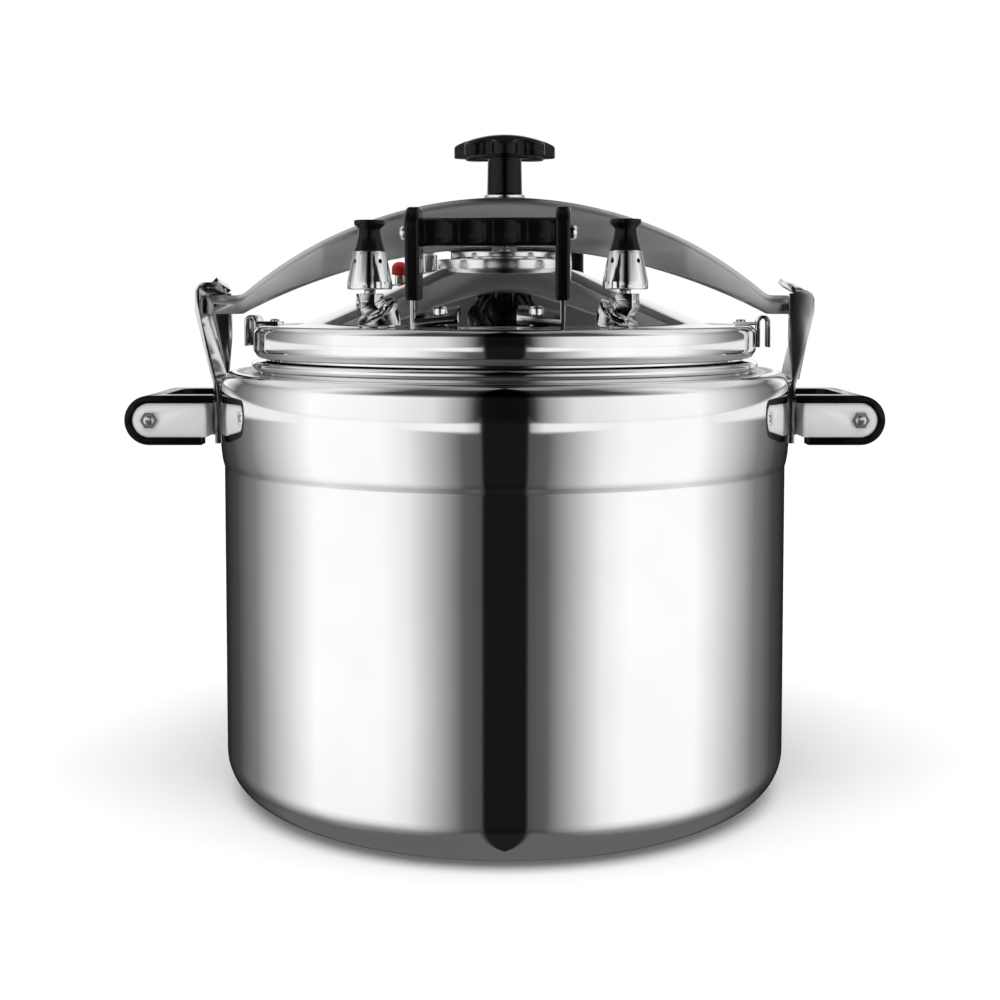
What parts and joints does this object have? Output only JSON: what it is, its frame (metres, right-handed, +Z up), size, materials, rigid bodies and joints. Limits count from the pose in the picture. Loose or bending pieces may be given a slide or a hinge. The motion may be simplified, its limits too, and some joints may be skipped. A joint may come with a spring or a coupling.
{
  "type": "stovetop pressure cooker",
  "caption": "Large stovetop pressure cooker: spun metal pot and conical lid, clamped by a star-knob screw through an arched beam hooked under side arms, with black grips and weighted vents.",
  "frame": {"origin": "centre of the base, on the surface that the pot stands on", "axes": "+Z up; -Y to the front, where a lid handle and the vent weights are; the beam and the side handles lie along X"},
  "size_m": [0.475, 0.366, 0.4189],
  "materials": {
    "polished_aluminium": "polished",
    "turned_aluminium": "turned",
    "polished_steel": "polished",
    "satin_steel": "satin",
    "chromed_fittings": "bright",
    "spring_steel": "plain",
    "black_bakelite": "gloss",
    "seal_rubber": "matt",
    "red_rubber": "satin"
  },
  "bodies": {
    "pot": {"arm_rivets_left": "chromed_fittings", "arm_rivets_right": "chromed_fittings", "handle_bolts_left": "chromed_fittings", "handle_bolts_right": "chromed_fittings", "handle_bracket_left": "polished_steel", "handle_bracket_right": "polished_steel", "handle_grip_left": "black_bakelite", "handle_grip_right": "black_bakelite", "hook_arm_left": "polished_steel", "hook_arm_right": "polished_steel", "pot_shell": "polished_aluminium"},
    "seal": {"lid_gasket": "seal_rubber"},
    "lid": {"boss_plate": "turned_aluminium", "clip_rivets": "chromed_fittings", "float_housing": "chromed_fittings", "float_nut": "chromed_fittings", "float_seal": "seal_rubber", "lid_handle_bolt_front": "chromed_fittings", "lid_handle_bolt_rear": "chromed_fittings", "lid_handle_cheeks_front": "black_bakelite", "lid_handle_cheeks_rear": "black_bakelite", "lid_handle_feet_front": "polished_steel", "lid_handle_feet_rear": "polished_steel", "lid_handle_grip_front": "black_bakelite", "lid_handle_grip_rear": "black_bakelite", "lid_handle_screws_front": "chromed_fittings", "lid_handle_screws_rear": "chromed_fittings", "lid_shell": "polished_aluminium", "rim_clip_left": "polished_steel", "rim_clip_right": "polished_steel", "safety_plug": "chromed_fittings", "safety_plug_cap": "red_rubber", "safety_plug_nut": "chromed_fittings", "safety_plug_seal": "seal_rubber", "thrust_plate": "turned_aluminium", "vent_guard_left": "turned_aluminium", "vent_guard_right": "turned_aluminium", "vent_nut_left": "turned_aluminium", "vent_nut_right": "turned_aluminium", "vent_pipe_left": "chromed_fittings", "vent_pipe_right": "chromed_fittings", "vent_seal_left": "seal_rubber", "vent_seal_right": "seal_rubber"},
    "weight_right": {"weight_body_right": "turned_aluminium", "weight_cap_right": "black_bakelite"},
    "weight_left": {"weight_body_left": "turned_aluminium", "weight_cap_left": "black_bakelite"},
    "indicator": {"float_pin": "chromed_fittings"},
    "beam": {"clamp_beam": "satin_steel", "beam_nut": "chromed_fittings"},
    "foot": {"screw_foot": "chromed_fittings", "foot_ring": "spring_steel"},
    "screw": {"clamp_screw": "chromed_fittings", "star_knob": "black_bakelite"}
  },
  "joints": [
    {"name": "lid_lift", "type": "slide", "parent": "pot", "child": "seal", "axis": [0, 0, 1], "range_m": [0, 0.057]},
    {"name": "lid_turn", "type": "hinge", "parent": "seal", "child": "lid", "pos_m": [0, 0, 0.29], "axis": [0, 0, 1], "range_deg": [0, 170]},
    {"name": "weight_lift_right", "type": "slide", "parent": "lid", "child": "weight_right", "axis": [0, 0, 1], "range_m": [0, 0.025]},
    {"name": "weight_lift_left", "type": "slide", "parent": "lid", "child": "weight_left", "axis": [0, 0, 1], "range_m": [0, 0.025]},
    {"name": "indicator_rise", "type": "slide", "parent": "lid", "child": "indicator", "axis": [0, 0, 1], "range_m": [0, 0.004]},
    {"name": "beam_swing", "type": "hinge", "parent": "lid", "child": "beam", "pos_m": [0, 0, 0.36], "axis": [0, 0, 1], "range_deg": [0, 11.5]},
    {"name": "screw_rise", "type": "slide", "parent": "beam", "child": "foot", "axis": [0, 0, 1], "range_m": [0, 0.01]},
    {"name": "knob_turn", "type": "hinge", "parent": "foot", "child": "screw", "pos_m": [0, 0, 0.38], "axis": [0, 0, 1], "range_deg": [0, 1440]}
  ],
  "couplings": [
    {"joint": "lid_lift", "follows": "lid_turn", "m_per_rad": 0.0192},
    {"joint": "screw_rise", "follows": "knob_turn", "m_per_rad": 0.00039789}
  ]
}
